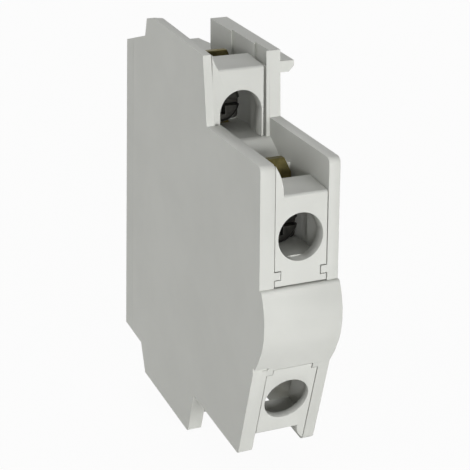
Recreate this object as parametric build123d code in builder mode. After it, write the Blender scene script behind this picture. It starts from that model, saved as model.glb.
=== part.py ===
from build123d import *
import os
from math import cos, radians, sin

# Auxiliary contact block that hooks on the side of a contactor, in millimetres.
# X runs across the block, Y from front to back and Z up.
# The origin is on the upper front screw's axis, on the front face of its shroud.

# Body
body_width = 12.0
axis_offset = 0.2
left_wall = 2.2
left_wall_rear = 1.25
right_wall = 1.7
web = 1.2
web_bend = 0.9

# Side outline, upper half
step_depth = 17.6
step_height = 13.05
front_wall_rise = 10.4
foot_rise = 1.5
foot_setback = 0.9
rear_wall_rise = 8.65
rear_front_lean = 0.3
ridge_rise = 2.1
ridge_y = 34.4
ridge_end_y = 37.5
ridge_end_drop = 0.5
shoulder_y = 38.2
shoulder_z = 20.6
back_y = 46.5
back_lean = 1.2
back_top_z = 18.7
back_bottom_z = -28.2

# Side outline, lower half
lower_tilt = 18.0
lower_axis_y = 3.5
lower_axis_z = -25.1
lower_step_depth = 15.3
lower_step_height = 9.2
rear_axis_shift = 0.4
front_tip_drop = 8.9
rear_tip_drop = 8.7
notch_drop = 1.6
heel_y = 40.0
heel_z = -34.1
heel_top_y = 41.5
heel_top_z = -29.5
tip_round = 0.5

# Nose
nose_top_z = -6.8
nose_ledge = 0.7
nose_ledge_round = 0.5
nose_bulge = 1.5
nose_bulge_z = -10.3
nose_under_y = -0.9
nose_under_z = -15.3
nose_lip_y = 0.3
nose_lip_z = -17.6
nose_thickness = 3.6
nose_step_height = 0.8
nose_step_depth = 0.4

# Hooked rail on the right wall
rail_rise_front = 8.4
rail_rise_back = 9.9
rail_end_y = 35.3
rail_step = 0.5
rail_step_y = 21.6
rail_second_step_y = 28.3
rail_step_bottom = 17.0
shroud_rib_end_y = 22.8
shroud_rib_top = 19.2
hook_reach = 2.2
hook_thickness = 1.6
hook_below_top = 1.7
hook_bevel = 0.8

# Shrouds
shroud_seam = 0.08
shroud_wall = 2.0
lower_shroud_wall = 1.2
shroud_depth = 5.2
upper_front_rise = 6.1
upper_rear_rise = 6.45
lower_front_rise = 5.9
lower_rear_rise = 5.7
rear_shroud_gap = 0.45
shroud_slope = 0.8
shroud_lid = 1.2
shroud_edge = 0.5
cheek_width = 0.4
cheek_drop = 3.75
room_floor_drop = 3.15
room_floor_thickness = 0.7
room_floor_gap = 0.35
upper_front_drop = 6.7
upper_rear_drop = 3.8
lower_front_drop = 5.8
lower_rear_drop = 4.1
ear_width = 1.3
ear_height = 4.2
lower_ear_height = 2.4
rear_ear_width = 0.95
rear_ear_height = 2.2
access_margin = 0.65
arch_margin = 0.15
key_reach = 0.95
key_height = 1.25
key_above_edge = 0.95
lower_key_overlap = 0.4
key_depth = 1.0
key_gap = 0.08

# Terminal screws, clamp plates and contact strips
screw_head_depth = 6.2
screw_head_gap = 0.35
screw_head_height = 2.2
screw_head_bevel = 0.5
screw_slot_width = 0.9
screw_slot_depth = 1.1
screw_cross_length = 3.4
screw_radius = 1.75
screw_reach = 4.0
screw_point = 0.4
screw_clearance = 0.05
clamp_side_gap = 0.05
clamp_floor_gap = 0.1
clamp_thickness = 1.15
clamp_corner = 0.7
clamp_gap = 0.02
strip_thickness = 1.0
strip_side_gap = 0.6
strip_rise = 8.3
rear_strip_rise = 6.9
strip_bevel = 1.1
strip_tab_drop = 2.8
strip_foot = 3.9
tail_side_gap = 1.8
strip_bend = 0.9
strip_slot_gap = 0.25

# Partitions
floor_rise = 6.4
lower_floor_rise = 4.4
floor_start_depth = 11.2
ramp_start_y = 14.6
rear_floor_rise = 8.6
front_strip_room = 3.03
lower_strip_room = 2.13
rear_strip_room = 0.53
rear_web_top = 19.9
lower_partition_reach = 14.0
roof_z = 17.2
belly_outward = 0.5
screw_end_gap = 0.4

# Contacts
carrier_z = -10.0
contact_spread = 5.0
button_radius = 1.2
button_thickness = 0.6
tail_margin = 0.4
contact_tail_gap = 0.7
contact_row_spacing = 17.5
contact_gap = 3.0
bridge_thickness = 0.8
bridge_side_gap = 0.1
bridge_margin = 0.4
touch_gap = 0.02

# Contact carrier
carrier_height = 6.0
carrier_gap = 0.1
carrier_travel = 4.0
overtravel = 1.0
carrier_front_wall = 2.2
carrier_web = 1.4
carrier_back_length = 2.6
carrier_edge = 0.3
rib_thickness = 1.0
rib_reach = 1.1
rib_start_y = 17.5
rib_end_y = 31.0
peg_radius = 0.9
peg_gap = 0.3
peg_length = 1.4
drive_pin_radius = 1.5
drive_pin_reach = 3.5
drive_pin_shoulder = 0.6
drive_pin_gap = 0.25
drive_pin_bevel = 0.3

# Springs
contact_spring_gap = 0.4
contact_spring_wire = 0.25
contact_spring_turns = 2.5
return_spring_gap = 0.5
return_spring_wire = 0.3
return_spring_turns = 4.5
wire_sides = 5
spring_seat_gap = 0.03

# Rear cover
cover_thickness = 2.6
cover_skin = 1.4
cover_lip = 1.2
cover_lip_length = 2.0
cover_gap = 0.05
boss_rim = 0.6
boss_front_y = 42.5

# Places worked out from the sizes
x_left = -body_width / 2 - axis_offset
x_right = body_width / 2 - axis_offset
inner_left = x_left + left_wall
inner_left_rear = x_left + left_wall_rear
inner_right = x_right - right_wall
strip_depth = screw_head_depth + screw_head_height + clamp_thickness + clamp_gap
strip_back = strip_depth + strip_thickness
partition_depth = strip_back + front_strip_room + web / 2
lower_partition_depth = strip_back + lower_strip_room + web / 2
rear_partition_depth = strip_back + rear_strip_room + web / 2
half_room = min(-inner_left, inner_right)
access_radius = half_room - access_margin
screw_head_radius = access_radius - screw_head_gap
room_half_width = half_room - cheek_width
clamp_width = 2 * (room_half_width - clamp_side_gap)
clamp_rise = room_floor_drop - clamp_floor_gap
room_floor_depth = strip_depth - room_floor_gap
arch_radius = access_radius - arch_margin
roof_top = roof_z + web / 2
strip_width = 2 * (half_room - strip_side_gap)
strip_tail_width = 2 * (half_room - tail_side_gap)
front_contact_y = partition_depth + (web + strip_thickness) / 2 + contact_tail_gap
rear_contact_y = front_contact_y + contact_row_spacing
web_left = inner_left - left_wall / 2
web_right = inner_right + right_wall / 2
tilt = radians(lower_tilt)
upper_contact_z = carrier_z + contact_spread
lower_contact_z = carrier_z - contact_spread

# Face planes of the four terminals, with local Y towards the wire entry
upper_front = Plane(origin=(0, 0, 0), x_dir=(1, 0, 0), z_dir=(0, -1, 0))
upper_rear = Plane(origin=(-rear_axis_shift, step_depth, step_height), x_dir=(1, 0, 0), z_dir=(0, -1, 0))
lower_front = Plane(
    origin=(0, lower_axis_y, lower_axis_z),
    x_dir=(-1, 0, 0),
    z_dir=(0, -cos(tilt), -sin(tilt)),
)
lower_rear = Plane(
    origin=lower_front.from_local_coords((0, lower_step_height, -lower_step_depth)),
    x_dir=lower_front.x_dir,
    z_dir=lower_front.z_dir,
)
terminals = {
    "upper_front": upper_front,
    "upper_rear": upper_rear,
    "lower_front": lower_front,
    "lower_rear": lower_rear,
}
upper_terminals = ("upper_front", "upper_rear")
front_terminals = ("upper_front", "lower_front")
shroud_drops = {
    "upper_front": upper_front_drop,
    "upper_rear": upper_rear_drop,
    "lower_front": lower_front_drop,
    "lower_rear": lower_rear_drop,
}
shroud_rises = {
    "upper_front": upper_front_rise,
    "upper_rear": upper_rear_rise,
    "lower_front": lower_front_rise,
    "lower_rear": lower_rear_rise,
}
key_rises = {
    "upper_front": key_above_edge,
    "lower_front": -lower_key_overlap,
}


def side_point(face, depth, outward):
    """Side-view point at a depth behind a terminal's face and a distance towards its wire entry."""
    place = face.from_local_coords((0, outward, -depth))
    return (place.Y, place.Z)


def seam_y(height, inset):
    """Y of the leaning back edge at a height, moved forward by an inset."""
    share = (back_top_z - height) / (back_top_z - back_bottom_z)
    return back_y - back_lean + 2 * back_lean * share - inset


# Side outlines
front_top = (0, front_wall_rise)
foot = (step_depth - foot_setback, front_wall_rise + foot_rise)
right_foot = (step_depth, foot[1])
rear_top = (step_depth + rear_front_lean, step_height + rear_wall_rise)
ridge = (ridge_y, rear_top[1] + ridge_rise)
ridge_end = (ridge_end_y, ridge[1] - ridge_end_drop)
shoulder = (shoulder_y, shoulder_z)
back_top = (seam_y(back_top_z, 0), back_top_z)
back_bottom = (seam_y(back_bottom_z, 0), back_bottom_z)
rear_tip = side_point(lower_rear, 0, rear_tip_drop)
notch = side_point(lower_rear, 0, notch_drop)
front_tip = side_point(lower_front, 0, front_tip_drop)
plate_edge = lower_front_drop + shroud_seam
nose_bottom = side_point(lower_front, 0, -plate_edge)
nose_top = (0, nose_top_z)
lower_outline = (
    (heel_top_y, heel_top_z),
    (heel_y, heel_z),
    rear_tip,
    notch,
    front_tip,
    nose_bottom,
)
rail_front = (rear_top[0], step_height + rail_rise_front)
rail_back = (rail_end_y, step_height + rail_rise_back)
rail_slope = (rail_back[1] - rail_front[1]) / (rail_back[0] - rail_front[0])
belly_start = side_point(lower_rear, rear_partition_depth, belly_outward)
belly_z = belly_start[1]


def nose_line():
    """Front line of the nose, from its foot up to the ledge."""
    Polyline(nose_bottom, (nose_lip_y, nose_lip_z), (nose_under_y, nose_under_z))
    ThreePointArc(
        (nose_under_y, nose_under_z),
        (-nose_bulge, nose_bulge_z),
        (-nose_ledge, nose_top_z - nose_ledge_round),
    )
    round_share = 1 - cos(radians(45))
    ThreePointArc(
        (-nose_ledge, nose_top_z - nose_ledge_round),
        (nose_ledge_round * round_share - nose_ledge, nose_top_z - nose_ledge_round * round_share),
        (nose_ledge_round - nose_ledge, nose_top_z),
    )
    Line((nose_ledge_round - nose_ledge, nose_top_z), nose_top)


def wall_outline(top_points):
    """Outline of a side wall whose upper edge runs through the points given."""
    Polyline(nose_top, front_top, *top_points, back_bottom, *lower_outline)
    nose_line()


def behind_seam(inset):
    """Outline of everything behind the rear cover's seam."""
    Polyline(
        (seam_y(ridge[1], inset), ridge[1]),
        (back_y + back_y, ridge[1]),
        (back_y + back_y, heel_z),
        (seam_y(heel_z, inset), heel_z),
        close=True,
    )


def rail_top_z(y):
    """Height of the hooked rail's top at a place along it."""
    return rail_front[1] + rail_slope * (y - rail_front[0])


def rail_block(start_y):
    """Outline of a thicker stretch of the rail, from a place along it to its rear end."""
    Polyline(
        (start_y, rail_step_bottom),
        (start_y, rail_top_z(start_y)),
        rail_back,
        (rail_end_y, rail_step_bottom),
        close=True,
    )


# Contact strips, each with its terminal face, its rise, the drop of its foot and its contact's place
rear_foot = strip_foot + floor_rise
lower_rear_foot = strip_foot + lower_floor_rise
strip_layout = {
    "upper_front": (upper_front, strip_rise, strip_foot, front_contact_y, upper_contact_z),
    "upper_rear": (upper_rear, rear_strip_rise, rear_foot, rear_contact_y, upper_contact_z),
    "lower_front": (lower_front, strip_rise, strip_foot, front_contact_y, lower_contact_z),
    "lower_rear": (lower_rear, strip_rise, lower_rear_foot, rear_contact_y, lower_contact_z),
}


def strip_line(face, top_rise, foot_drop, contact_y, contact_z):
    """Centre line of a contact strip, from its free end at the wire entry to its contact end."""
    middle = strip_depth + strip_thickness / 2
    inward = 1 if contact_z < carrier_z else -1
    corner_z = contact_z - inward * (button_radius + strip_bend + tail_margin)
    end_z = contact_z + inward * (button_radius + tail_margin)
    FilletPolyline(
        side_point(face, middle, top_rise - strip_bevel),
        side_point(face, middle, -foot_drop),
        (contact_y, corner_z),
        (contact_y, end_z),
        radius=strip_bend,
    )


# Places of the moving contacts, from front to back
nc_bridge_front = front_contact_y + strip_thickness / 2 + 2 * button_thickness + touch_gap
nc_bridge_back = nc_bridge_front + bridge_thickness
no_fixed_face = rear_contact_y - strip_thickness / 2 - button_thickness
no_bridge_back = no_fixed_face - contact_gap - touch_gap - button_thickness
no_bridge_front = no_bridge_back - bridge_thickness
window_front = nc_bridge_front - overtravel - touch_gap
window_back = no_bridge_back + touch_gap
web_front = (nc_bridge_back + no_bridge_front - carrier_web) / 2
web_back = web_front + carrier_web
carrier_front = window_front - carrier_front_wall
carrier_back = window_back + carrier_back_length
carrier_left = inner_left + carrier_gap
carrier_right = inner_right - carrier_gap
drive_pin_y = (web_front + web_back) / 2
contact_spring_radius = peg_radius + peg_gap + contact_spring_wire
window_half = contact_spring_radius + contact_spring_wire + contact_spring_gap
bridge_width = 2 * (window_half - bridge_side_gap)
return_spring_radius = peg_radius + return_spring_gap + return_spring_wire
boss_radius = return_spring_radius + return_spring_wire + boss_rim
bridge_length = 2 * (contact_spread + button_radius + bridge_margin)

os.makedirs("parts", exist_ok=True)

# Housing
with BuildPart() as housing:
    with BuildSketch(Plane.YZ.offset(x_left)) as left_side:
        with BuildLine():
            wall_outline((foot, rear_top, ridge, ridge_end, shoulder, back_top))
        make_face()
        fillet(left_side.vertices().sort_by(Axis.Y)[0], tip_round)
        fillet(left_side.vertices().sort_by_distance((*front_tip, 0))[0], tip_round)
    extrude(amount=left_wall)

    # Left wall thinned beside the upper rear terminal
    with BuildSketch(Plane.YZ.offset(inner_left_rear)):
        with BuildLine():
            Polyline(
                (foot[0], rear_floor_rise + web / 2),
                (foot[0], ridge[1]),
                (back_top[0], ridge[1]),
                (back_top[0], rear_floor_rise + web / 2),
                close=True,
            )
        make_face()
    extrude(amount=inner_left - inner_left_rear, mode=Mode.SUBTRACT)

    with BuildSketch(Plane.YZ.offset(inner_right)):
        with BuildLine():
            wall_outline((right_foot, rail_front, rail_back, (rail_end_y, roof_top), (seam_y(roof_top, 0), roof_top)))
        make_face()
    extrude(amount=right_wall)

    # Nose across the full width
    with BuildSketch(Plane.YZ.offset(x_left)):
        with BuildLine():
            nose_line()
            Polyline(
                nose_top,
                (nose_thickness, nose_top_z),
                side_point(lower_front, nose_thickness, -plate_edge),
                nose_bottom,
            )
        make_face()
    extrude(amount=body_width)

    # Small step under the nose on the left wall
    with BuildSketch(Plane.YZ.offset(x_left)):
        with BuildLine():
            Polyline(
                side_point(lower_front, -nose_thickness, -plate_edge - nose_step_height),
                side_point(lower_front, nose_step_depth, -plate_edge - nose_step_height),
                side_point(lower_front, 0, -plate_edge),
                side_point(lower_front, -nose_thickness, -plate_edge),
                close=True,
            )
        make_face()
    extrude(amount=left_wall, mode=Mode.SUBTRACT)

    # Partitions between the wire rooms and the contact room
    with BuildSketch(Plane.YZ.offset(web_left)):
        with BuildLine():
            FilletPolyline(
                side_point(upper_front, shroud_wall + shroud_seam, nose_top_z + web / 2),
                side_point(upper_front, partition_depth, nose_top_z + web / 2),
                side_point(upper_front, partition_depth, floor_rise),
                radius=web_bend,
            )
        trace(line_width=web)
        with BuildLine():
            FilletPolyline(
                (floor_start_depth, floor_rise),
                (ramp_start_y, floor_rise),
                (step_depth, rear_floor_rise),
                (step_depth + rear_partition_depth, rear_floor_rise),
                (step_depth + rear_partition_depth, rear_web_top),
                radius=web_bend,
            )
        trace(line_width=web)
        with BuildLine():
            Line((step_depth + rear_partition_depth, roof_z), (back_y, roof_z))
        trace(line_width=web)
        with BuildLine():
            FilletPolyline(
                side_point(lower_front, lower_shroud_wall + shroud_seam, web / 2 - plate_edge),
                side_point(lower_front, lower_partition_depth, web / 2 - plate_edge),
                side_point(lower_front, lower_partition_depth, lower_floor_rise),
                radius=web_bend,
            )
        trace(line_width=web)
        with BuildLine():
            FilletPolyline(
                side_point(lower_front, floor_start_depth, lower_floor_rise),
                side_point(lower_rear, rear_partition_depth, lower_floor_rise - lower_step_height),
                side_point(lower_rear, rear_partition_depth, lower_partition_reach - lower_step_height),
                radius=web_bend,
            )
        trace(line_width=web)
        with BuildLine():
            Line(belly_start, (back_y, belly_z))
        trace(line_width=web)
    extrude(amount=web_right - web_left)

    # Thicker stretches of the rail, and the hook along it
    for step_number, step_y in enumerate((rail_step_y, rail_second_step_y)):
        with BuildSketch(Plane.YZ.offset(inner_right - rail_step * (step_number + 1))):
            with BuildLine():
                rail_block(step_y)
            make_face()
        extrude(amount=rail_step)
    with BuildSketch(Plane.XZ.offset(-rail_front[0])):
        hook_top = rail_front[1] - hook_below_top
        with BuildLine():
            Polyline(
                (x_right - rail_step, hook_top),
                (x_right + hook_reach, hook_top),
                (x_right + hook_reach, hook_top - hook_thickness + hook_bevel),
                (x_right + hook_reach - hook_bevel, hook_top - hook_thickness),
                (x_right - rail_step, hook_top - hook_thickness),
                close=True,
            )
        make_face()
    extrude(amount=rail_end_y - rail_front[0], dir=(0, 1, rail_slope))

    # Rib on the right wall beside the upper rear shroud
    with BuildSketch(Plane.YZ.offset(inner_right - rail_step)):
        with BuildLine():
            Polyline(
                (step_depth, rear_floor_rise),
                rail_front,
                (rail_front[0], shroud_rib_top),
                (shroud_rib_end_y, shroud_rib_top),
                (shroud_rib_end_y, rear_floor_rise),
                close=True,
            )
        make_face()
    extrude(amount=rail_step)

    # Tabs that key the two front shrouds
    for name in front_terminals:
        face = terminals[name]
        key_middle = key_rises[name] + key_height / 2 - shroud_drops[name]
        with BuildSketch(face):
            with Locations(
                (face.x_dir.X * (inner_left + shroud_seam), key_middle),
                (face.x_dir.X * (inner_right - shroud_seam), key_middle),
            ):
                Rectangle(2 * (key_reach - key_gap), key_height - 2 * key_gap)
        extrude(amount=-(key_depth - key_gap))

    # Guide ribs for the carrier
    with BuildSketch(Plane.XZ.offset(-rib_start_y)):
        rib_rise = carrier_height / 2 + carrier_gap + rib_thickness / 2
        with Locations(
            (inner_left, carrier_z + rib_rise),
            (inner_left, carrier_z - rib_rise),
            (inner_right, carrier_z + rib_rise),
            (inner_right, carrier_z - rib_rise),
        ):
            Rectangle(2 * rib_reach, rib_thickness)
    extrude(amount=-(rib_end_y - rib_start_y))

    # Slots for the contact strips
    for layout in strip_layout.values():
        with BuildSketch(Plane.YZ):
            with BuildLine():
                strip_line(*layout)
            trace(line_width=strip_thickness + 2 * strip_slot_gap)
        extrude(amount=strip_tail_width / 2 + strip_slot_gap, both=True, mode=Mode.SUBTRACT)

    # Room for the screw ends
    for face in terminals.values():
        with BuildSketch(face.offset(-strip_depth)):
            Circle(screw_radius + screw_end_gap)
        extrude(amount=-(screw_reach + screw_end_gap - clamp_thickness), mode=Mode.SUBTRACT)

    # Slot for the drive pin
    with BuildSketch(Plane.YZ.offset(inner_right)):
        with Locations((drive_pin_y + carrier_travel / 2, carrier_z)):
            SlotCenterToCenter(carrier_travel, 2 * (drive_pin_radius + drive_pin_shoulder + drive_pin_gap))
    extrude(amount=right_wall, mode=Mode.SUBTRACT)

    # Open back for the rear cover
    with BuildSketch(Plane.YZ.offset(x_left)):
        with BuildLine():
            behind_seam(cover_thickness + cover_gap)
        make_face()
    extrude(amount=body_width, mode=Mode.SUBTRACT)
housing.part.label = "housing"
export_step(housing.part, "parts/housing.step")

# Rear cover
with BuildPart() as rear_cover:
    with BuildSketch(Plane.YZ.offset(x_left)):
        with BuildLine():
            wall_outline((foot, rear_top, ridge, ridge_end, shoulder, back_top))
        make_face()
        with BuildLine():
            behind_seam(cover_thickness)
        make_face(mode=Mode.INTERSECT)
    extrude(amount=body_width)

    # Top lowered to the roof beside the left wall
    with BuildSketch(Plane.YZ.offset(inner_left_rear)):
        with BuildLine():
            Polyline(
                (shoulder_y, roof_top),
                (back_y + back_lean, roof_top),
                (back_y + back_lean, ridge[1]),
                (shoulder_y, ridge[1]),
                close=True,
            )
        make_face()
    extrude(amount=x_right - inner_left_rear, mode=Mode.SUBTRACT)

    # Shallow room behind the contact room
    lip_top = roof_top - web - cover_gap
    lip_bottom = belly_z + web / 2 + cover_gap
    with BuildSketch(Plane.YZ.offset(inner_left)):
        with BuildLine():
            Polyline(
                (seam_y(lip_top - cover_lip, cover_thickness), lip_top - cover_lip),
                (seam_y(lip_top - cover_lip, cover_skin), lip_top - cover_lip),
                (seam_y(lip_bottom + cover_lip, cover_skin), lip_bottom + cover_lip),
                (seam_y(lip_bottom + cover_lip, cover_thickness), lip_bottom + cover_lip),
                close=True,
            )
        make_face()
    extrude(amount=inner_right - inner_left, mode=Mode.SUBTRACT)

    # Lips that reach into the housing
    with BuildSketch(Plane.YZ.offset(carrier_left)):
        with Locations(
            (seam_y(lip_top, cover_thickness + cover_lip_length / 2), lip_top - cover_lip / 2),
            (seam_y(lip_bottom, cover_thickness + cover_lip_length / 2), lip_bottom + cover_lip / 2),
        ):
            Rectangle(2 * cover_lip_length, cover_lip)
    extrude(amount=carrier_right - carrier_left)

    # Boss and peg for the return spring
    with BuildSketch(Plane.XZ.offset(-boss_front_y)):
        with Locations((0, carrier_z)):
            Circle(boss_radius)
    extrude(amount=-(seam_y(carrier_z, cover_skin) + cover_gap - boss_front_y))
    with BuildSketch(Plane.XZ.offset(-boss_front_y)):
        with Locations((0, carrier_z)):
            Circle(peg_radius)
    extrude(amount=peg_length)
rear_cover.part.label = "rear_cover"
export_step(rear_cover.part, "parts/rear_cover.step")

# Shrouds around the screws
for name, face in terminals.items():
    across = face.x_dir.X
    left = inner_left + shroud_seam
    right = inner_right - shroud_seam
    rise = shroud_rises[name]
    drop = shroud_drops[name]
    wall = shroud_wall if name in upper_terminals else lower_shroud_wall
    radius = access_radius if name in front_terminals else arch_radius
    ear_reach = ear_width
    ear_rise = ear_height if name in upper_terminals else lower_ear_height
    ear_bow = 0.8
    if name == "upper_rear":
        ear_reach = rear_ear_width
        ear_rise = rear_ear_height
        ear_bow = 0.4
        left = inner_left_rear + shroud_seam
        right = inner_right - rail_step - rear_shroud_gap
    middle = across * ((left + right) / 2 - face.origin.X)
    plate_left = middle - (right - left) / 2
    plate_right = middle + (right - left) / 2
    with BuildPart() as shroud:
        with BuildSketch(face):
            with Locations((middle, (rise - drop) / 2)):
                Rectangle(right - left, rise + drop)
        extrude(amount=-wall)
        with BuildSketch(Plane.YZ.offset(left)):
            with BuildLine():
                Polyline(
                    side_point(face, 0, -cheek_drop),
                    side_point(face, 0, rise),
                    side_point(face, shroud_depth, rise + shroud_slope),
                    side_point(face, shroud_depth, -cheek_drop),
                    close=True,
                )
            make_face()
        extrude(amount=right - left)
        hood_edge = Vector(0, *side_point(face, 0, rise))
        fillet(shroud.edges().filter_by(Axis.X).sort_by_distance(hood_edge)[0], shroud_edge)

        # Room for the screw head and the clamp plate
        with BuildSketch(face.offset(-wall)):
            with Locations((0, rise - shroud_lid)):
                Rectangle(2 * room_half_width, 4 * drop, align=(Align.CENTER, Align.MAX))
        extrude(amount=-shroud_depth, mode=Mode.SUBTRACT)

        if name in front_terminals:
            # Floor of the room, just under the clamp plate
            with BuildSketch(Plane.YZ.offset(left)):
                with BuildLine():
                    Polyline(
                        side_point(face, wall / 2, -room_floor_drop),
                        side_point(face, room_floor_depth, -room_floor_drop),
                        side_point(face, room_floor_depth, -room_floor_drop - room_floor_thickness),
                        side_point(face, wall / 2, -room_floor_drop - room_floor_thickness),
                        close=True,
                    )
                make_face()
            extrude(amount=right - left)

        # Screw access
        with BuildSketch(face):
            Circle(radius)
            if name not in front_terminals:
                Rectangle(2 * radius, 2 * drop, align=(Align.CENTER, Align.MAX))
        extrude(amount=-wall, mode=Mode.SUBTRACT)

        if name != "lower_rear":
            # Gusset in the corner between the hood and the side wall
            with BuildSketch(face):
                with BuildLine():
                    Polyline(
                        (plate_left + ear_reach, rise),
                        (plate_left + ear_reach, rise - shroud_lid),
                        (plate_left, rise - shroud_lid),
                        (plate_left, rise + ear_rise),
                    )
                    ThreePointArc(
                        (plate_left, rise + ear_rise),
                        (plate_left + ear_reach * ear_bow, rise + ear_rise * 0.5),
                        (plate_left + ear_reach, rise),
                    )
                make_face()
            extrude(amount=-wall)

        if name in front_terminals:
            # Notches for the housing's tabs
            with BuildSketch(face):
                with Locations(
                    (plate_left, key_rises[name] + key_height / 2 - drop),
                    (plate_right, key_rises[name] + key_height / 2 - drop),
                ):
                    Rectangle(2 * key_reach, key_height)
            extrude(amount=-key_depth, mode=Mode.SUBTRACT)
    shroud.part.label = name + "_shroud"
    export_step(shroud.part, "parts/" + shroud.part.label + ".step")

# Terminal screws
for name, face in terminals.items():
    with BuildPart() as screw:
        with BuildSketch(face.offset(-screw_head_depth)):
            Circle(screw_head_radius)
        extrude(amount=-screw_head_height)
        chamfer(screw.edges().filter_by(GeomType.CIRCLE).sort_by_distance(face.origin)[0], screw_head_bevel)
        with BuildSketch(face.offset(-screw_head_depth)):
            Rectangle(3 * screw_head_radius, screw_slot_width)
            Rectangle(screw_slot_width, screw_cross_length)
        extrude(amount=-screw_slot_depth, mode=Mode.SUBTRACT)
        with BuildSketch(face.offset(-screw_head_depth - screw_head_height)):
            Circle(screw_radius)
        extrude(amount=-screw_reach)
        screw_end = face.from_local_coords((0, 0, -2 * partition_depth))
        chamfer(screw.edges().filter_by(GeomType.CIRCLE).sort_by_distance(screw_end)[0], screw_point)
    screw.part.label = name + "_screw"
    export_step(screw.part, "parts/" + screw.part.label + ".step")

# Clamp plates under the screw heads
for name, face in terminals.items():
    with BuildPart() as clamp:
        with BuildSketch(face.offset(-screw_head_depth - screw_head_height)):
            RectangleRounded(clamp_width, 2 * clamp_rise, clamp_corner)
            Circle(screw_radius + screw_clearance, mode=Mode.SUBTRACT)
        extrude(amount=-clamp_thickness)
    clamp.part.label = name + "_clamp_plate"
    export_step(clamp.part, "parts/" + clamp.part.label + ".step")

# Contact strips
for name, layout in strip_layout.items():
    face, top_rise = layout[:2]
    with BuildPart() as strip:
        with BuildSketch(Plane.YZ):
            with BuildLine():
                strip_line(*layout)
            trace(line_width=strip_thickness)
        extrude(amount=strip_tail_width / 2, both=True)
        with BuildSketch(face.offset(-strip_depth)):
            with BuildLine():
                Polyline(
                    (-strip_width / 2, -strip_tab_drop),
                    (-strip_width / 2, top_rise - 2 * strip_bevel),
                    (strip_bevel - strip_width / 2, top_rise),
                    (strip_width / 2 - strip_bevel, top_rise),
                    (strip_width / 2, top_rise - 2 * strip_bevel),
                    (strip_width / 2, -strip_tab_drop),
                    close=True,
                )
            make_face()
        extrude(amount=-strip_thickness)
        with BuildSketch(face.offset(-screw_head_depth)):
            Circle(screw_radius + screw_clearance)
        extrude(amount=-(strip_depth - screw_head_depth + 2 * strip_thickness), mode=Mode.SUBTRACT)
    strip.part.label = name + "_contact_strip"
    export_step(strip.part, "parts/" + strip.part.label + ".step")

# Silver buttons on the contact strips
for name, layout in strip_layout.items():
    start_y = front_contact_y + strip_thickness / 2 if name in front_terminals else no_fixed_face
    with BuildPart() as fixed_button:
        with BuildSketch(Plane.XZ.offset(-start_y)):
            with Locations((0, layout[4])):
                Circle(button_radius)
        extrude(amount=-button_thickness)
    fixed_button.part.label = name + "_fixed_button"
    export_step(fixed_button.part, "parts/" + fixed_button.part.label + ".step")

# Contact carrier
with BuildPart() as contact_carrier:
    with BuildSketch(Plane.XZ.offset(-carrier_front)):
        with Locations(((carrier_left + carrier_right) / 2, carrier_z)):
            RectangleRounded(carrier_right - carrier_left, carrier_height, carrier_edge)
    extrude(amount=-(carrier_back - carrier_front))
    with BuildSketch(Plane.XY.offset(carrier_z)):
        with BuildLine():
            Polyline(
                (-window_half, window_front),
                (window_half, window_front),
                (window_half, web_front),
                (-window_half, web_front),
                close=True,
            )
        make_face()
        with BuildLine():
            Polyline(
                (-window_half, web_back),
                (window_half, web_back),
                (window_half, window_back),
                (-window_half, window_back),
                close=True,
            )
        make_face()
    extrude(amount=carrier_height, both=True, mode=Mode.SUBTRACT)
    for peg_y, peg_direction in ((web_front, 1), (web_back, -1), (carrier_back, -1)):
        with BuildSketch(Plane.XZ.offset(-peg_y)):
            with Locations((0, carrier_z)):
                Circle(peg_radius)
        extrude(amount=peg_direction * peg_length)
    with BuildSketch(Plane.YZ.offset(carrier_right)):
        with Locations((drive_pin_y, carrier_z)):
            Circle(drive_pin_radius + drive_pin_shoulder)
    extrude(amount=x_right + carrier_gap - carrier_right)
    with BuildSketch(Plane.YZ.offset(carrier_right)):
        with Locations((drive_pin_y, carrier_z)):
            Circle(drive_pin_radius)
    extrude(amount=x_right + drive_pin_reach - carrier_right)
    chamfer(contact_carrier.faces().sort_by(Axis.X)[-1].edges(), drive_pin_bevel)
contact_carrier.part.label = "contact_carrier"
export_step(contact_carrier.part, "parts/contact_carrier.step")

# Contact bridges and their silver buttons
for name, bridge_y, button_y in (
    ("nc", nc_bridge_front, nc_bridge_front - button_thickness),
    ("no", no_bridge_front, no_bridge_back),
):
    with BuildPart() as bridge:
        with BuildSketch(Plane.XZ.offset(-bridge_y)):
            with Locations((0, carrier_z)):
                RectangleRounded(bridge_width, bridge_length, clamp_corner)
        extrude(amount=-bridge_thickness)
    bridge.part.label = name + "_bridge"
    export_step(bridge.part, "parts/" + bridge.part.label + ".step")
    for place, button_z in (("upper", upper_contact_z), ("lower", lower_contact_z)):
        with BuildPart() as bridge_button:
            with BuildSketch(Plane.XZ.offset(-button_y)):
                with Locations((0, button_z)):
                    Circle(button_radius)
            extrude(amount=-button_thickness)
        bridge_button.part.label = name + "_bridge_" + place + "_button"
        export_step(bridge_button.part, "parts/" + bridge_button.part.label + ".step")

# Springs along the carrier's axis
for name, radius, wire, turns, start_y, end_y in (
    ("nc_contact_spring", contact_spring_radius, contact_spring_wire, contact_spring_turns,
     nc_bridge_back, web_front),
    ("no_contact_spring", contact_spring_radius, contact_spring_wire, contact_spring_turns,
     web_back, no_bridge_front),
    ("return_spring", return_spring_radius, return_spring_wire, return_spring_turns,
     carrier_back, boss_front_y),
):
    margin = wire + spring_seat_gap
    coil_length = end_y - start_y - 2 * margin
    with BuildPart() as spring:
        with BuildLine() as coil:
            Helix(
                pitch=coil_length / turns,
                height=coil_length,
                radius=radius,
                center=(0, start_y + margin, carrier_z),
                direction=(0, 1, 0),
            )
        with BuildSketch(coil.line ^ 0):
            RegularPolygon(wire, wire_sides)
        sweep(is_frenet=True)
    spring.part.label = name
    export_step(spring.part, "parts/" + name + ".step")
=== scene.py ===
import logging
import math
from dataclasses import dataclass
from enum import Enum
from typing import Any

import bmesh
import bpy
from mathutils import Matrix, Vector


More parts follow.
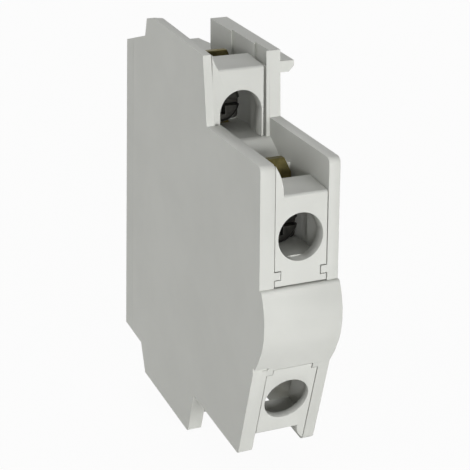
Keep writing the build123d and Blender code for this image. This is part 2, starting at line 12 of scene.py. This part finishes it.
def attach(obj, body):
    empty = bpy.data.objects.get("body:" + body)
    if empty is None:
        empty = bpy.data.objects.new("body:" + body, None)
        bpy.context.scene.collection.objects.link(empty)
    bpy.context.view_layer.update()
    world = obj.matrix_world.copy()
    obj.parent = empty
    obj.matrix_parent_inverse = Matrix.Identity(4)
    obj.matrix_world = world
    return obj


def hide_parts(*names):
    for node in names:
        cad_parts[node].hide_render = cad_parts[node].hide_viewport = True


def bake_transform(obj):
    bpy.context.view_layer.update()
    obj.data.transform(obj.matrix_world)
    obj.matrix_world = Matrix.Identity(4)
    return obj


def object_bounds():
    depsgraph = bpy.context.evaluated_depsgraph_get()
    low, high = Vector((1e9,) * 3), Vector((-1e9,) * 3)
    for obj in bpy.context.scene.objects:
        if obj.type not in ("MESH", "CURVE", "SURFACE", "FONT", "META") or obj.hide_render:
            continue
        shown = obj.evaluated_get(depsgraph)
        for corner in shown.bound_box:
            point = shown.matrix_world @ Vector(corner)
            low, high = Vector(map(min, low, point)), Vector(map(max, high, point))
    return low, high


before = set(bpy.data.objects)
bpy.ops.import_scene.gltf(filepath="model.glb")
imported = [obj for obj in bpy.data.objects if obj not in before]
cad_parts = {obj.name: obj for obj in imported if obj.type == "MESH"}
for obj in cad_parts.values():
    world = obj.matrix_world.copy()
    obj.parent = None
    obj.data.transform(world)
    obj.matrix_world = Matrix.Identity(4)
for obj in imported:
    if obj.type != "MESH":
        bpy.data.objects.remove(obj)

logging.basicConfig(level=logging.INFO, format="%(message)s")
log = logging.getLogger("contact_block")
cad_low, cad_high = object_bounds()

MM = 0.001
WHITE = (1.0, 1.0, 1.0, 1.0)
# Corners of a CAD node's loose triangles that lie nearer than this are one corner
WELD_MM = 0.001
# A corner or an edge of the solids is found by its place, to within this
REACH_MM = 0.05
# Faces that meet at less than this angle lie in one plane
PLANE_ANGLE = math.radians(0.5)
TERMINAL_NAMES = ("upper_front", "upper_rear", "lower_front", "lower_rear")


def linear(hex_colour: str) -> tuple[float, float, float, float]:
    """Turns an sRGB hex colour into Blender's linear colour.

    Args:
        hex_colour: Six hex digits, with or without a leading hash.

    Returns:
        Red, green, blue and an alpha of 1.
    """
    digits = hex_colour.lstrip("#")
    shares = [int(digits[i : i + 2], 16) / 255 for i in (0, 2, 4)]
    # The sRGB curve is a straight line near black and a power above it
    turned = [s / 12.92 if s <= 0.04045 else ((s + 0.055) / 1.055) ** 2.4 for s in shares]
    return (*turned, 1.0)


def near(place: float, wanted_mm: float) -> bool:
    """Says whether a place in metres is where it is wanted, in mm."""
    return abs(place - wanted_mm * MM) < REACH_MM * MM


def add_object(name: str, data: bpy.types.ID) -> bpy.types.Object:
    """Adds an object to the scene.

    Args:
        name: The object's name.
        data: Its mesh, lamp or camera.

    Returns:
        The object.
    """
    added = bpy.data.objects.new(name, data)
    bpy.context.collection.objects.link(added)
    return added


def add_node(tree: bpy.types.NodeTree, kind: str, settings: dict[str, Any] | None = None,
             links: dict[str | int, bpy.types.NodeSocket] | None = None) -> bpy.types.Node:
    """Adds one shader node with its settings and links.

    Args:
        tree: The material's or world's node tree.
        kind: The node's type name.
        settings: Attribute names, or input names that start with "in:", and their values.
        links: Input names or numbers and the sockets that feed them.

    Returns:
        The new node.
    """
    node = tree.nodes.new(kind)
    for name, value in (settings or {}).items():
        if name.startswith("in:"):
            key = name[3:]
            node.inputs[int(key) if key.isdigit() else key].default_value = value
        else:
            setattr(node, name, value)
    for name, socket in (links or {}).items():
        tree.links.new(socket, node.inputs[name])
    return node


def new_material(name: str, values: dict[str, Any]) -> tuple[bpy.types.Material, bpy.types.Node]:
    """Makes a material that has only its main shader.

    Args:
        name: The material's name.
        values: The shader's input names and their values.

    Returns:
        The material and its main shader.
    """
    made = bpy.data.materials.new(name)
    made.use_nodes = True
    shader = made.node_tree.nodes["Principled BSDF"]
    for socket, value in values.items():
        shader.inputs[socket].default_value = value
    return made, shader


def two_tones(tree: bpy.types.NodeTree, pattern: bpy.types.NodeSocket, dark: str, light: str,
              spread: float) -> bpy.types.NodeSocket:
    """Turns a noise pattern into a soft change between two colours.

    Args:
        tree: The material's node tree.
        pattern: The noise, from 0 to 1.
        dark: Hex colour at the low end.
        light: Hex colour at the high end.
        spread: How far from the middle of the noise each colour is reached.

    Returns:
        The colour.
    """
    ramp = add_node(tree, "ShaderNodeValToRGB", None, {"Fac": pattern})
    ends = ((0.5 - spread, dark), (0.5 + spread, light))
    for element, (position, colour) in zip(ramp.color_ramp.elements, ends):
        element.position = position
        element.color = linear(colour)
    return ramp.outputs["Color"]


def seen_ray(tree: bpy.types.NodeTree) -> bpy.types.NodeSocket:
    """Adds a value of 1 where the camera, a reflection or glass sees a surface.

    Args:
        tree: The node tree that needs it.

    Returns:
        The value.
    """
    path = add_node(tree, "ShaderNodeLightPath")
    direct = add_node(tree, "ShaderNodeMath", {"operation": "MAXIMUM"},
                      {0: path.outputs["Is Camera Ray"], 1: path.outputs["Is Glossy Ray"]})
    seen = add_node(tree, "ShaderNodeMath", {"operation": "MAXIMUM"},
                    {0: direct.outputs[0], 1: path.outputs["Is Transmission Ray"]})
    return seen.outputs[0]


@dataclass(frozen=True)
class MouldedPlastic:
    """Polyamide moulded in a spark-eroded tool.

    The eye sees a dull, even surface with a very fine grain, which catches no sharp highlight. Flow in the
    mould leaves patches that differ by a shade too little to name.
    """

    name: str
    colour: str
    shade: str
    roughness: float = 0.58
    ior: float = 1.5
    specular: float = 0.3
    # Spark-eroded grain is about 0.05 mm, which is drawn at 0.3 mm so that it shows at all
    grain_mm: float = 0.3
    grain_depth_mm: float = 0.1
    grain_strength: float = 0.08
    # Flow leaves soft patches about 9 mm across
    patch_mm: float = 9.0
    patch_spread: float = 0.15

    def material(self) -> bpy.types.Material:
        """Builds the material.

        Returns:
            A matte material with patches of tone and a fine grain.
        """
        made, shader = new_material(self.name, {
            "Roughness": self.roughness, "IOR": self.ior, "Specular IOR Level": self.specular})
        tree = made.node_tree
        place = add_node(tree, "ShaderNodeTexCoord").outputs["Object"]
        patches = add_node(tree, "ShaderNodeTexNoise",
                           {"in:Scale": 1 / (self.patch_mm * MM), "in:Detail": 3.0, "in:Roughness": 0.55},
                           {"Vector": place})
        grain = add_node(tree, "ShaderNodeTexNoise",
                         {"in:Scale": 1 / (self.grain_mm * MM), "in:Detail": 2.0, "in:Roughness": 0.6},
                         {"Vector": place})
        bump = add_node(tree, "ShaderNodeBump",
                        {"in:Strength": self.grain_strength, "in:Distance": self.grain_depth_mm * MM},
                        {"Height": grain.outputs["Fac"]})
        tone = two_tones(tree, patches.outputs["Fac"], self.shade, self.colour, self.patch_spread)
        tree.links.new(tone, shader.inputs["Base Color"])
        tree.links.new(bump.outputs["Normal"], shader.inputs["Normal"])
        return made


@dataclass(frozen=True)
class StampedMetal:
    """Sheet, bar or wire that was rolled or drawn, then left bare or plated.

    The eye sees a metal whose shine is broken by fine rolling lines and by dull stains from handling.
    """

    name: str
    colour: str
    stain: str
    roughness: float
    # Rolling lines lie about 0.15 mm apart
    line_mm: float = 0.15
    line_depth_mm: float = 0.05
    line_strength: float = 0.15
    # The lines run upwards, and along them the pattern keeps this share of its scale
    line_stretch: float = 0.06
    # Stains from handling are about 2.5 mm across
    stain_mm: float = 2.5
    stain_spread: float = 0.11

    def material(self) -> bpy.types.Material:
        """Builds the material.

        Returns:
            A metal with rolling lines and stains.
        """
        made, shader = new_material(self.name, {"Metallic": 1.0, "Roughness": self.roughness})
        tree = made.node_tree
        place = add_node(tree, "ShaderNodeTexCoord").outputs["Object"]
        drawn = add_node(tree, "ShaderNodeMapping", {"in:Scale": (1.0, 1.0, self.line_stretch)},
                         {"Vector": place})
        lines = add_node(tree, "ShaderNodeTexNoise",
                         {"in:Scale": 1 / (self.line_mm * MM), "in:Detail": 2.0},
                         {"Vector": drawn.outputs["Vector"]})
        stains = add_node(tree, "ShaderNodeTexNoise",
                          {"in:Scale": 1 / (self.stain_mm * MM), "in:Detail": 4.0, "in:Roughness": 0.6},
                          {"Vector": place})
        bump = add_node(tree, "ShaderNodeBump",
                        {"in:Strength": self.line_strength, "in:Distance": self.line_depth_mm * MM},
                        {"Height": lines.outputs["Fac"]})
        tone = two_tones(tree, stains.outputs["Fac"], self.stain, self.colour, self.stain_spread)
        tree.links.new(tone, shader.inputs["Base Color"])
        tree.links.new(bump.outputs["Normal"], shader.inputs["Normal"])
        return made


@dataclass(frozen=True)
class WhitePaper:
    """A wide roll of uncoated background paper.

    The eye sees an even white with no shine, on which only the soft shadow of the block shows.
    """

    name: str = "white_paper_sweep"
    colour: str = "#f2f2f0"
    roughness: float = 0.9
    specular: float = 0.1
    # Share of plain white in what the camera sees, which keeps the shadow faint
    white_share: float = 0.95

    def material(self) -> bpy.types.Material:
        """Builds the material.

        Returns:
            A matte paper that is nearly white to the camera.
        """
        made, shader = new_material(self.name, {
            "Base Color": linear(self.colour), "Roughness": self.roughness,
            "Specular IOR Level": self.specular})
        tree = made.node_tree
        white = add_node(tree, "ShaderNodeEmission", {"in:Color": WHITE, "in:Strength": 1.0})
        share = add_node(tree, "ShaderNodeMath", {"operation": "MULTIPLY", "in:1": self.white_share},
                         {0: seen_ray(tree)})
        mix = add_node(tree, "ShaderNodeMixShader", None,
                       {0: share.outputs[0], 1: shader.outputs[0], 2: white.outputs[0]})
        tree.links.new(mix.outputs[0], tree.nodes["Material Output"].inputs["Surface"])
        return made


class Finish(Enum):
    """The finishes that the block's pieces choose from."""

    # The casing's mouldings are one plastic, a shade apart from batch to batch, which tells them apart
    CASING = MouldedPlastic("moulded_polyamide_warm_grey", "#d6d7d2", "#d2d3ce")
    COVER = MouldedPlastic("moulded_polyamide_cover_grey", "#d4d5d0", "#d0d1cc")
    SHROUD = MouldedPlastic("moulded_polyamide_pale_grey", "#d8d9d4", "#d4d5d0")
    # The slider comes from a smoother tool, so its near-black has a little more sheen
    CARRIER = MouldedPlastic("moulded_polyamide_black", "#3a3b3d", "#343537", roughness=0.5)
    # Bare rolled brass of a dull olive brown, made darker still as painted shade for the dark interior it
    # sits in
    BRASS = StampedMetal("stamped_brass", "#766d48", "#585234", roughness=0.48)
    # Zinc-plated steel, its colour darkened as painted shade for the dark screw holes; it glints on a
    # screw's turned head and is duller on sheet
    ZINC = StampedMetal("zinc_screw_steel_painted_shade", "#5c5b57", "#434240", roughness=0.28)
    CLAMP = StampedMetal("zinc_sheet_steel_painted_shade", "#5b5a57", "#454441", roughness=0.4)
    # Silver alloy is whitish, with a faint warm tarnish
    SILVER = StampedMetal("silver_contact_alloy", "#d8d6d0", "#b8b5ad", roughness=0.3)
    # Bare drawn wire is a plain grey with a satin shine
    WIRE = StampedMetal("drawn_spring_steel", "#9a9a9a", "#7c7c7c", roughness=0.35)


class FinishRack:
    """Builds each finish once and hands it out."""

    def __init__(self) -> None:
        """Starts with no material built."""
        self.built: dict[Finish, bpy.types.Material] = {}

    def take(self, finish: Finish) -> bpy.types.Material:
        """Gives a finish's material, building it the first time.

        Args:
            finish: The finish wanted.

        Returns:
            Its material.
        """
        if finish not in self.built:
            self.built[finish] = finish.value.material()
        return self.built[finish]

    def dress(self, mesh: bpy.types.Mesh, finish: Finish) -> None:
        """Makes a finish the only one on a mesh.

        Args:
            mesh: The mesh.
            finish: The finish it gets.
        """
        mesh.materials.clear()
        mesh.materials.append(self.take(finish))

    def dress_node(self, node: str, finish: Finish) -> None:
        """Puts a finish on a CAD node.

        Args:
            node: The CAD node's name.
            finish: The finish it gets.
        """
        self.dress(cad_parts[node].data, finish)
        log.info("dressed %s in %s", node, finish.name)


@dataclass(frozen=True)
class Nudge:
    """A shift in mm for every corner of a piece that lies between two places."""

    low: tuple[float, float, float]
    high: tuple[float, float, float]
    shift: tuple[float, float, float]

    def apply(self, shape: bmesh.types.BMesh) -> None:
        """Moves the corners.

        Args:
            shape: The piece's mesh.
        """
        for corner in shape.verts:
            if all((low - REACH_MM) * MM <= place <= (high + REACH_MM) * MM
                   for low, place, high in zip(self.low, corner.co, self.high)):
                corner.co += Vector(self.shift) * MM


@dataclass(frozen=True)
class SoftCorner:
    """A corner of the side walls' outline with a larger radius, at a depth and height in mm."""

    depth: float
    height: float
    radius: float
    segments: int = 4

    def apply(self, shape: bmesh.types.BMesh) -> None:
        """Rounds the edges that run across the walls at this corner.

        Args:
            shape: The piece's mesh.
        """
        edges = [
            edge for edge in shape.edges
            if all(near(end.co.y, self.depth) and near(end.co.z, self.height) for end in edge.verts)
        ]
        bmesh.ops.bevel(shape, geom=edges, offset=self.radius * MM, offset_type="OFFSET",
                        segments=self.segments, profile=0.5, affect="EDGES", clamp_overlap=True, material=-1)


@dataclass(frozen=True)
class RailStep:
    """A step in the rail's inner face, at a depth in mm, with its two sides' places across."""

    deep_side: float
    raised_side: float
    depth: float
    foot: float
    top: float
    # How much of the undercut its foot gets
    foot_share: float = 1.0

    def undercuts(self, length: float, slope: float) -> tuple[Nudge, Nudge]:
        """Carries the deep side on behind the raised one.

        Args:
            length: How far it goes on, in mm.
            slope: The rise of the rail's top along its depth.

        Returns:
            The shifts of the deep side's corners, at the foot and at the top.
        """
        foot = (self.deep_side, self.depth, self.foot)
        top = (self.deep_side, self.depth, self.top)
        return (
            Nudge(foot, foot, (0.0, length * self.foot_share, 0.0)),
            Nudge(top, top, (0.0, length, length * slope)),
        )


@dataclass
class RoundedPiece:
    """A rigid piece with the small radius that moulding or stamping leaves on its sharp edges."""

    node: str
    body: str
    slot: str
    finish: Finish
    edge_mm: float
    segments: int = 2
    # Edges flatter than this are facets of a round surface
    edge_angle: float = 28.0
    # The facets of a round surface are smaller than this, in square mm
    facet_area: float = 60.0
    # How far the surface lies inside the CAD surface, which widens the joint round the piece
    relief_mm: float = 0.0
    changes: tuple[Nudge | SoftCorner, ...] = ()
    # Upright edges that stay sharp, each by its place across and its depth in mm
    sharp_lines: tuple[tuple[float, float], ...] = ()

    def stays_sharp(self, edge: bmesh.types.BMEdge) -> bool:
        """Says whether an edge lies on one of the lines that stay sharp.

        Args:
            edge: The edge.

        Returns:
            True if it does.
        """
        return any(
            all(near(end.co.x, across) and near(end.co.y, depth) for end in edge.verts)
            for across, depth in self.sharp_lines
        )

    def smooth_facets(self, shape: bmesh.types.BMesh) -> None:
        """Smooths the facets of round surfaces only, because a wide flat face would shade unevenly.

        Args:
            shape: The piece's mesh.
        """
        widest = math.radians(self.edge_angle)
        for face in shape.faces:
            face.smooth = face.calc_area() < self.facet_area * MM * MM and any(
                PLANE_ANGLE < edge.calc_face_angle(0.0) < widest for edge in face.edges
            )

    def mark_edges(self, shape: bmesh.types.BMesh) -> None:
        """Marks the edges that get the radius.

        Args:
            shape: The piece's mesh.
        """
        weight = shape.edges.layers.float.new("bevel_weight_edge")
        for edge in shape.edges:
            steep = edge.calc_face_angle(0.0) > math.radians(self.edge_angle)
            edge[weight] = 1.0 if steep and not self.stays_sharp(edge) else 0.0

    def fill(self, mesh: bpy.types.Mesh) -> None:
        """Shapes a copy of the CAD node, with its loose triangles joined.

        Args:
            mesh: The empty mesh that gets the shape.
        """
        shape = bmesh.new()
        shape.from_mesh(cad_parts[self.node].data)
        bmesh.ops.remove_doubles(shape, verts=shape.verts, dist=WELD_MM * MM)
        bmesh.ops.dissolve_limit(shape, angle_limit=PLANE_ANGLE, use_dissolve_boundaries=False,
                                 verts=shape.verts, edges=shape.edges, delimit=set())
        for change in self.changes:
            change.apply(shape)
        shape.normal_update()
        if self.relief_mm:
            for corner in shape.verts:
                corner.co -= corner.normal * self.relief_mm * MM
        self.smooth_facets(shape)
        self.mark_edges(shape)
        shape.to_mesh(mesh)
        shape.free()

    def build(self, rack: FinishRack) -> None:
        """Builds the piece that stands for the CAD node, dresses it and rounds its edges.

        Args:
            rack: Where the finish comes from.
        """
        name = self.node + "_rounded"
        mesh = bpy.data.meshes.new(name)
        self.fill(mesh)
        piece = add_object(name, mesh)
        rack.dress(mesh, self.finish)
        rounding = piece.modifiers.new("edge_radius", "BEVEL")
        rounding.width = self.edge_mm * MM
        rounding.segments = self.segments
        rounding.limit_method = "WEIGHT"
        rounding.harden_normals = True
        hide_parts(self.node)
        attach(piece, self.body)
        log.info("built %s", piece.name)


@dataclass
class CoiledSpring:
    """A compression spring between two bodies, copied as it stands in the CAD."""

    node: str
    front_body: str
    back_body: str

    def build(self, rack: FinishRack) -> None:
        """Copies the CAD spring, dresses it in wire and smooths its faces.

        Args:
            rack: Where the finish comes from.
        """
        name = self.node + "_coil"
        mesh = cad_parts[self.node].data.copy()
        mesh.name = name
        rack.dress(mesh, Finish.WIRE)
        for face in mesh.polygons:
            face.use_smooth = True
        piece = add_object(name, mesh)
        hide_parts(self.node)
        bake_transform(piece)
        log.info("built %s", piece.name)


@dataclass
class Casing:
    """The housing, its rear cover and the four shrouds."""

    edge_mm: float = 0.22
    shroud_edge_mm: float = 0.14
    shroud_relief_mm: float = 0.08
    # Each of the rail's two steps shows as a thin dark line, because it is undercut
    rail_steps: tuple[RailStep, ...] = (
        RailStep(deep_side=4.1, raised_side=3.6, depth=21.6, foot=19.2, top=21.77),
        RailStep(deep_side=3.6, raised_side=3.1, depth=28.3, foot=17.0, top=22.35, foot_share=0.5),
    )
    undercut: float = 0.75
    rail_slope: float = 0.0862
    # The top of the web behind the upper rear strip, which lies lower so that the strip hides it
    web_top_low: tuple[float, float, float] = (-4.95, 28.7, 19.9)
    web_top_high: tuple[float, float, float] = (3.1, 29.9, 19.9)
    web_drop: float = 1.3
    # The walls' top front corners and the right wall's lower tip, each by its depth and height
    soft_corners: tuple[tuple[float, float], ...] = ((0.0, 10.4), (6.25, -33.56))
    corner_radius: float = 0.8

    def housing_changes(self) -> tuple[Nudge | SoftCorner, ...]:
        """Lists what the finished housing has beyond the CAD's edges.

        Returns:
            The undercut rail steps, the lower web and the soft wall corners.
        """
        return (
            *(nudge for step in self.rail_steps for nudge in step.undercuts(self.undercut, self.rail_slope)),
            Nudge(self.web_top_low, self.web_top_high, (0.0, 0.0, -self.web_drop)),
            *(SoftCorner(depth, height, self.corner_radius) for depth, height in self.soft_corners),
        )

    def build(self, rack: FinishRack) -> None:
        """Builds every moulded piece of the casing.

        Args:
            rack: Where the finishes come from.
        """
        step_lines = tuple((step.raised_side, step.depth) for step in self.rail_steps)
        RoundedPiece("housing", "casing", "housing_plastic", Finish.CASING, self.edge_mm,
                     changes=self.housing_changes(), sharp_lines=step_lines).build(rack)
        RoundedPiece("rear_cover", "casing", "cover_plastic", Finish.COVER, self.edge_mm).build(rack)
        for name in TERMINAL_NAMES:
            RoundedPiece(name + "_shroud", "casing", "shroud_plastic", Finish.SHROUD,
                         self.shroud_edge_mm, relief_mm=self.shroud_relief_mm).build(rack)


@dataclass
class Terminals:
    """The screws, clamp plates, contact strips and their buttons."""

    screw_edge_mm: float = 0.15
    sheet_edge_mm: float = 0.12

    def build(self, rack: FinishRack) -> None:
        """Rounds each terminal's metal pieces and dresses its contact button.

        Args:
            rack: Where the finishes come from.
        """
        for name in TERMINAL_NAMES:
            RoundedPiece(name + "_screw", name + "_screw_group", "screw_steel", Finish.ZINC,
                         self.screw_edge_mm).build(rack)
            RoundedPiece(name + "_clamp_plate", name + "_clamp", "clamp_steel", Finish.CLAMP,
                         self.sheet_edge_mm).build(rack)
            RoundedPiece(name + "_contact_strip", "casing", "strip_brass", Finish.BRASS,
                         self.sheet_edge_mm).build(rack)
            rack.dress_node(name + "_fixed_button", Finish.SILVER)


@dataclass
class Mechanism:
    """The carrier, its bridges and its springs."""

    carrier_edge_mm: float = 0.15
    bridge_edge_mm: float = 0.1

    def build(self, rack: FinishRack) -> None:
        """Rounds the carrier and the bridges, coils the springs and dresses the buttons.

        Args:
            rack: Where the finishes come from.
        """
        RoundedPiece("contact_carrier", "carrier", "carrier_plastic", Finish.CARRIER,
                     self.carrier_edge_mm).build(rack)
        CoiledSpring("return_spring", "carrier", "casing").build(rack)
        CoiledSpring("nc_contact_spring", "nc_bridge_group", "carrier").build(rack)
        CoiledSpring("no_contact_spring", "carrier", "no_bridge_group").build(rack)
        for side in ("nc", "no"):
            RoundedPiece(side + "_bridge", side + "_bridge_group", "bridge_brass", Finish.BRASS,
                         self.bridge_edge_mm).build(rack)
            for place in ("upper", "lower"):
                rack.dress_node(f"{side}_bridge_{place}_button", Finish.SILVER)


@dataclass(frozen=True)
class SoftLamp:
    """A soft light, with its place, width and height in metres and its power in watts."""

    name: str
    place: tuple[float, float, float]
    width: float
    height: float
    power: float

    def hang(self) -> None:
        """Hangs the lamp, aimed at the middle of the block."""
        lamp = bpy.data.lights.new(self.name, "AREA")
        lamp.shape = "RECTANGLE"
        lamp.size = self.width
        lamp.size_y = self.height
        lamp.energy = self.power
        holder = add_object(self.name, lamp)
        holder.location = self.place
        middle = (cad_low + cad_high) / 2
        holder.rotation_euler = (middle - holder.location).to_track_quat("-Z", "Y").to_euler()


@dataclass(frozen=True)
class PhotoCamera:
    """The camera as it stood for the photograph, with its place in mm and its turns in degrees."""

    place: tuple[float, float, float] = (-102.42, -190.27, 73.13)
    azimuth: float = 25.94
    elevation: float = 18.66
    roll: float = -0.25
    lens: float = 130.21
    sensor: float = 36.0
    # Nearest and farthest distance that it sees, in metres
    nearest: float = 0.01
    farthest: float = 20.0

    def turn(self) -> Matrix:
        """Works out how the camera is turned.

        Returns:
            Its rotation.
        """
        aside, down = math.radians(self.azimuth), math.radians(self.elevation)
        look = Vector((math.sin(aside) * math.cos(down), math.cos(aside) * math.cos(down), -math.sin(down)))
        right = Vector((math.cos(aside), -math.sin(aside), 0))
        upright = Matrix((right, right.cross(look), -look)).transposed()
        return upright @ Matrix.Rotation(math.radians(-self.roll), 3, "Z")

    def set_up(self) -> None:
        """Puts the camera where the photograph was taken from."""
        data = bpy.data.cameras.new("photo_camera")
        data.sensor_width = self.sensor
        data.lens = self.lens
        data.clip_start = self.nearest
        data.clip_end = self.farthest
        camera = add_object("photo_camera", data)
        camera.matrix_world = Matrix.Translation(Vector(self.place) * MM) @ self.turn().to_4x4()
        bpy.context.scene.camera = camera


@dataclass
class Studio:
    """The floor, the soft lights and the camera at the photograph's angle."""

    floor_drop_mm: float = 0.3
    floor_size: float = 6.0
    world_strength: float = 0.2
    # The front light hangs low, because the photograph's lower faces are its brightest
    lamps: tuple[SoftLamp, ...] = (
        SoftLamp("front_light", (-0.1, -0.9, 0.05), 0.6, 0.16, 6.0),
        SoftLamp("left_light", (-0.9, 0.1, 0.2), 0.6, 0.6, 1.75),
        SoftLamp("back_light", (0.1, 0.5, 0.75), 0.6, 0.6, 1.6),
        SoftLamp("right_light", (0.8, 0.5, 0.05), 0.6, 0.6, 1.6),
    )

    def build(self) -> None:
        """Sets up the floor, the world, the lamps and the camera."""
        bpy.context.scene.view_settings.view_transform = "Standard"
        self.lay_floor()
        self.light_world()
        for lamp in self.lamps:
            lamp.hang()
        PhotoCamera().set_up()

    def lay_floor(self) -> None:
        """Lays the pale floor that the block stands on."""
        mesh = bpy.data.meshes.new("studio_floor")
        shape = bmesh.new()
        bmesh.ops.create_grid(shape, x_segments=1, y_segments=1, size=self.floor_size)
        bmesh.ops.translate(shape, verts=shape.verts, vec=(0, 0, cad_low.z - self.floor_drop_mm * MM))
        shape.to_mesh(mesh)
        shape.free()
        floor = add_object("studio_floor", mesh)
        mesh.materials.append(WhitePaper().material())

    def light_world(self) -> None:
        """Gives a soft even light from all sides, behind a white background."""
        world = bpy.data.worlds.new("studio_world")
        bpy.context.scene.world = world
        world.use_nodes = True
        tree = world.node_tree
        tree.nodes.clear()
        soft, white = (
            add_node(tree, "ShaderNodeBackground", {"in:Color": WHITE, "in:Strength": strength})
            for strength in (self.world_strength, 1.0)
        )
        mix = add_node(tree, "ShaderNodeMixShader", None,
                       {0: seen_ray(tree), 1: soft.outputs[0], 2: white.outputs[0]})
        add_node(tree, "ShaderNodeOutputWorld", None, {"Surface": mix.outputs[0]})


def main() -> None:
    """Builds and dresses the whole block in order, then the studio round it."""
    rack = FinishRack()
    Casing().build(rack)
    Terminals().build(rack)
    Mechanism().build(rack)
    Studio().build()


if __name__ == "__main__":
    main()
